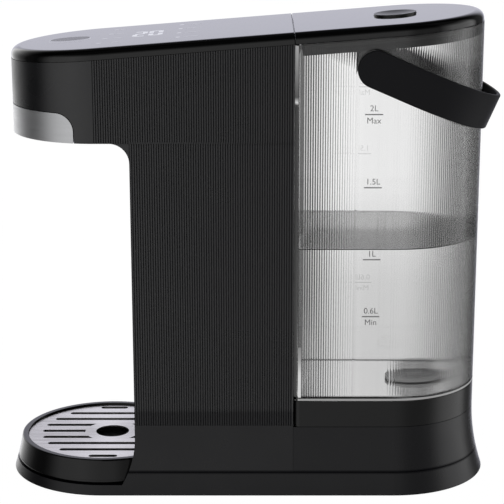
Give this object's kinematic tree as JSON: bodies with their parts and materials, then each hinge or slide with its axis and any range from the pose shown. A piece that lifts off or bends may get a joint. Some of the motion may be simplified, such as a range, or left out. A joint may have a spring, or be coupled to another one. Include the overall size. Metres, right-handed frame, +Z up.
{
  "type": "hot water dispenser",
  "caption": "Countertop hot water dispenser with sloping touch top, fluted column, silver spout cover, round drip tray and clear lift-off tank with swing handle.",
  "frame": {"origin": "middle of the body's footprint on the surface it stands on", "axes": "+X from the dispensing head to the tank, +Y to the far side, +Z up"},
  "size_m": [0.3169, 0.1258, 0.3043],
  "materials": {
    "black_shell": "satin, finely fluted on the sides",
    "gloss_cover": "high gloss",
    "clear_tank": "clear, fluted, with smooth window strips",
    "tank_base": "semi-gloss",
    "strap": "satin",
    "spout_silver": "brushed, satin",
    "grille_steel": "brushed",
    "tray_black": "semi-gloss",
    "liner": "moulded",
    "foot_rubber": "matte",
    "seal_silicone": "soft silicone",
    "clear_silicone": "translucent silicone",
    "steel": "drawn steel",
    "zinc_frame": "zinc plated sheet",
    "inner_plastic": "heat resistant plastic",
    "board_green": "solder mask",
    "parts_mixed": "electronic parts",
    "copper_pad": "bare"
  },
  "bodies": {
    "base": {"base_ring": "black_shell", "bottom_plate": "liner", "feet": "foot_rubber", "base_screws": "steel", "cord_gland": "foot_rubber", "tower_shell": "black_shell", "tray_dock": "liner", "rear_housing": "black_shell", "top_cover": "gloss_cover", "touch_sensor": "copper_pad", "display_module": "liner", "control_board": "board_green", "spout_cover": "spout_silver", "nozzle": "liner", "outlet_chamber": "inner_plastic", "hot_tube": "clear_silicone", "inner_frame": "zinc_frame", "heater_body": "steel", "heater_caps": "inner_plastic", "thermostats": "inner_plastic", "power_board": "board_green", "board_components": "parts_mixed", "pump_motor": "steel", "pump_cradle": "foot_rubber", "pump_volute": "inner_plastic", "inlet_tube": "clear_silicone", "pump_tube": "clear_silicone", "dock_socket": "liner", "dock_seal": "seal_silicone"},
    "impeller": {"pump_impeller": "inner_plastic"},
    "tank": {"tank_shell": "clear_tank", "tank_base": "tank_base", "valve_body": "liner", "valve_gasket": "seal_silicone", "valve_nut": "liner", "valve_spring": "steel", "tank_strainer": "liner", "handle_pins": "steel"},
    "poppet": {"valve_poppet": "inner_plastic"},
    "handle": {"handle": "strap"},
    "lid": {"tank_lid": "gloss_cover", "lid_liner": "liner", "lid_gasket": "clear_silicone", "button_housing": "liner", "button_spring": "steel"},
    "button": {"lid_button": "gloss_cover"},
    "tray": {"drip_tray": "tray_black"},
    "grille": {"drip_grille": "grille_steel"}
  },
  "joints": [
    {"name": "tank_lift", "type": "slide", "parent": "base", "child": "tank", "axis": [0, 0, 1], "range_m": [0, 0.08]},
    {"name": "handle_swing", "type": "hinge", "parent": "tank", "child": "handle", "pos_m": [0.0782, 0, 0.2738], "axis": [0, -1, 0], "range_deg": [0, 113.4]},
    {"name": "lid_lift", "type": "slide", "parent": "tank", "child": "lid", "axis": [0, 0, 1], "range_m": [0, 0.018]},
    {"name": "button_press", "type": "slide", "parent": "lid", "child": "button", "axis": [0.0785, 0, -0.9969], "range_m": [0, 0.0025], "stiffness_N_per_m": 300, "springref_m": -0.002, "deforming": ["button_spring"]},
    {"name": "poppet_lift", "type": "slide", "parent": "tank", "child": "poppet", "axis": [0, 0, 1], "range_m": [0, 0.003], "stiffness_N_per_m": 150, "springref_m": -0.003, "deforming": ["valve_spring"]},
    {"name": "tray_slide", "type": "slide", "parent": "base", "child": "tray", "axis": [-1, 0, 0], "range_m": [0, 0.12]},
    {"name": "grille_lift", "type": "slide", "parent": "tray", "child": "grille", "axis": [0, 0, 1], "range_m": [0, 0.01]},
    {"name": "pump_spin", "type": "hinge", "parent": "base", "child": "impeller", "pos_m": [0.016, 0, 0.0235], "axis": [1, 0, 0], "continuous": true}
  ]
}
